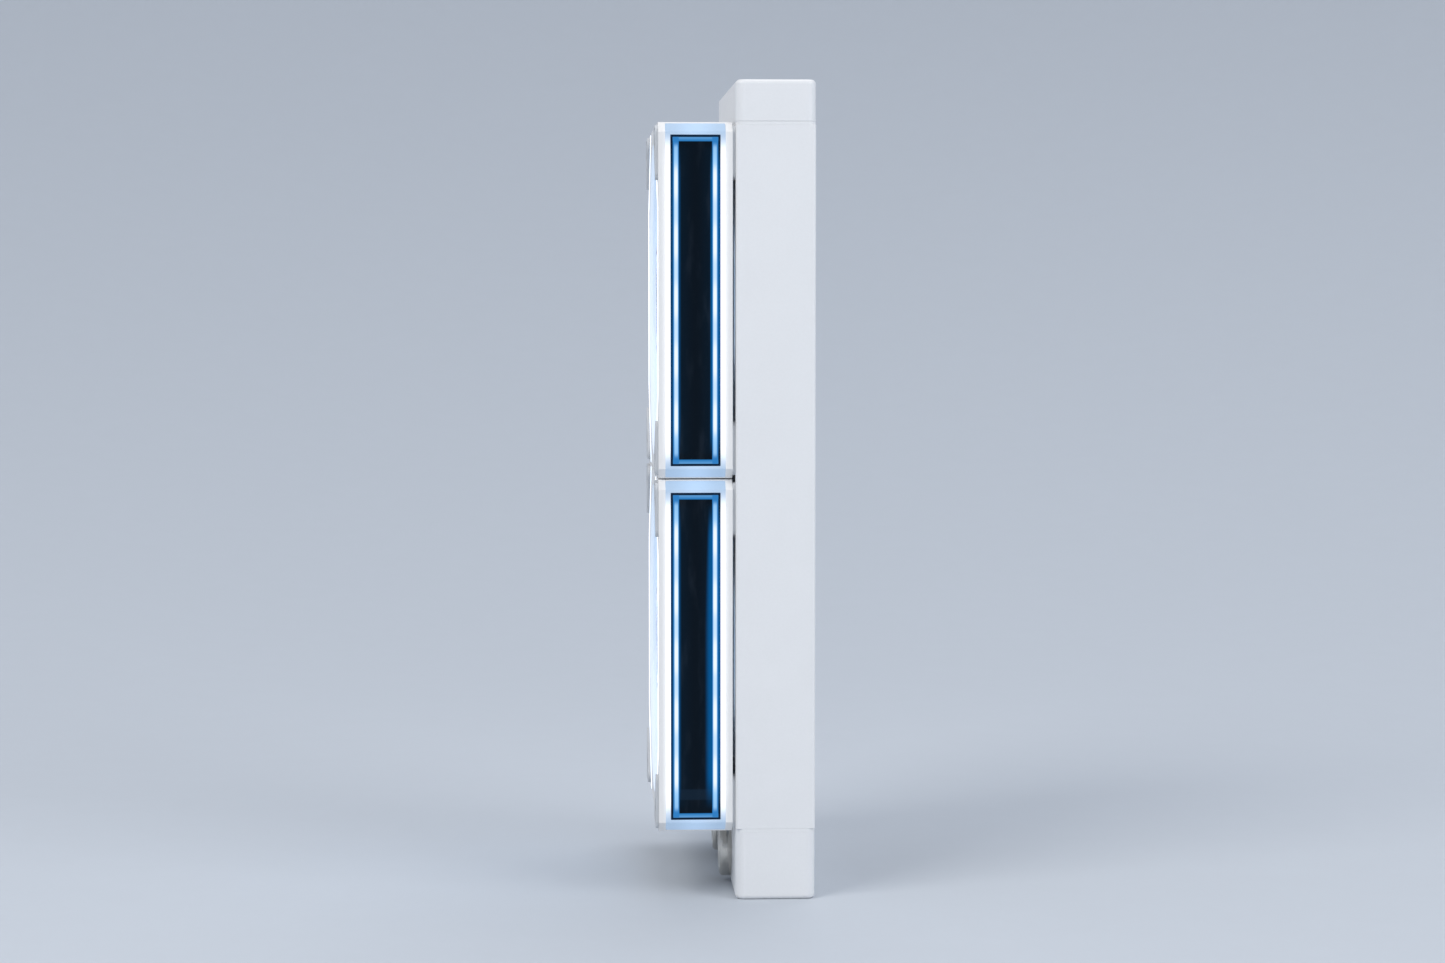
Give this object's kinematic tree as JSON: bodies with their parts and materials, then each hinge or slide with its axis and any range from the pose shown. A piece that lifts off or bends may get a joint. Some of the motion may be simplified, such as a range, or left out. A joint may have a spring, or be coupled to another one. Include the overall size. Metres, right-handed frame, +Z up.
{
  "type": "liquid cooling radiator",
  "caption": "White computer radiator with threaded coolant ports and stacked axial fans whose long edges carry lit half-mirror panels.",
  "frame": {"origin": "centre of the panel-side bolt pattern, on the radiator's panel face", "axes": "+X out of the radiator towards the panel it is screwed to, the fans' fronts face -X; +Y across the width; +Z up along the length, away from the ports"},
  "size_m": [0.054, 0.12, 0.277],
  "materials": {
    "white_paint": "powder coat, fine texture",
    "brazed_brass": "brazed sheet",
    "nickel": "satin nickel plating",
    "tube_aluminium": "bare drawn tube",
    "fin_aluminium": "bare thin sheet",
    "zinc": "zinc plated",
    "black_screw": "black oxide",
    "white_plastic": "fine moulded satin",
    "diffuser": "frosted, lit from inside",
    "mirror_pane": "half-silvered",
    "light_frame": "lit",
    "reflector": "polished film",
    "face_light": "lit",
    "pad_rubber": "matt",
    "circuit_board": "solder mask",
    "core_steel": "laminated",
    "copper_wire": "enamelled wire",
    "bearing_bronze": "sintered",
    "cover_film": "blank film",
    "frosted_plastic": "frosted, translucent",
    "hub_mirror": "half-silvered",
    "hub_light": "lit",
    "yoke_steel": "pressed",
    "magnet": "bonded ferrite",
    "shaft_steel": "ground",
    "clip_plastic": "moulded"
  },
  "bodies": {
    "radiator": {"bearing_sleeve_lower": "bearing_bronze", "bearing_sleeve_upper": "bearing_bronze", "contact_cap": "white_plastic", "contact_link": "white_plastic", "coolant_tubes": "tube_aluminium", "face_lights_lower": "face_light", "face_lights_upper": "face_light", "fan_screws": "black_screw", "fan_side_inserts": "zinc", "fin_strips": "fin_aluminium", "front_frame_lower": "white_plastic", "front_frame_upper": "white_plastic", "front_pads_lower": "pad_rubber", "front_pads_upper": "pad_rubber", "header_plate_lower": "white_paint", "header_plate_upper": "white_paint", "lead_socket": "white_plastic", "main_frame_lower": "white_plastic", "main_frame_upper": "white_plastic", "motor_board_lower": "circuit_board", "motor_board_upper": "circuit_board", "motor_cover_lower": "cover_film", "motor_cover_upper": "cover_film", "motor_mount_lower": "white_plastic", "motor_mount_upper": "white_plastic", "panel_side_inserts": "zinc", "port_inserts": "nickel", "rear_pads_lower": "pad_rubber", "rear_pads_upper": "pad_rubber", "side_channel_far": "white_paint", "side_channel_near": "white_paint", "side_diffusers_lower": "diffuser", "side_diffusers_upper": "diffuser", "side_lights_lower": "light_frame", "side_lights_upper": "light_frame", "side_mirrors_lower": "mirror_pane", "side_mirrors_upper": "mirror_pane", "side_reflectors_lower": "reflector", "side_reflectors_upper": "reflector", "stator_core_lower": "core_steel", "stator_core_upper": "core_steel", "tank_divider": "brazed_brass", "tank_lower": "white_paint", "tank_upper": "white_paint", "windings_lower": "copper_wire", "windings_upper": "copper_wire"},
    "rotor_upper": {"impeller_upper": "frosted_plastic", "hub_mirror_upper": "hub_mirror", "hub_light_upper": "hub_light", "yoke_cup_upper": "yoke_steel", "magnet_ring_upper": "magnet", "shaft_upper": "shaft_steel", "retaining_clip_upper": "clip_plastic"},
    "rotor_lower": {"impeller_lower": "frosted_plastic", "hub_mirror_lower": "hub_mirror", "hub_light_lower": "hub_light", "yoke_cup_lower": "yoke_steel", "magnet_ring_lower": "magnet", "shaft_lower": "shaft_steel", "retaining_clip_lower": "clip_plastic"}
  },
  "joints": [
    {"name": "fan_spin_upper", "type": "hinge", "parent": "radiator", "child": "rotor_upper", "pos_m": [-0.0405, 0, 0.06], "axis": [1, 0, 0], "continuous": true},
    {"name": "fan_spin_lower", "type": "hinge", "parent": "radiator", "child": "rotor_lower", "pos_m": [-0.0405, 0, -0.06], "axis": [1, 0, 0], "continuous": true}
  ]
}
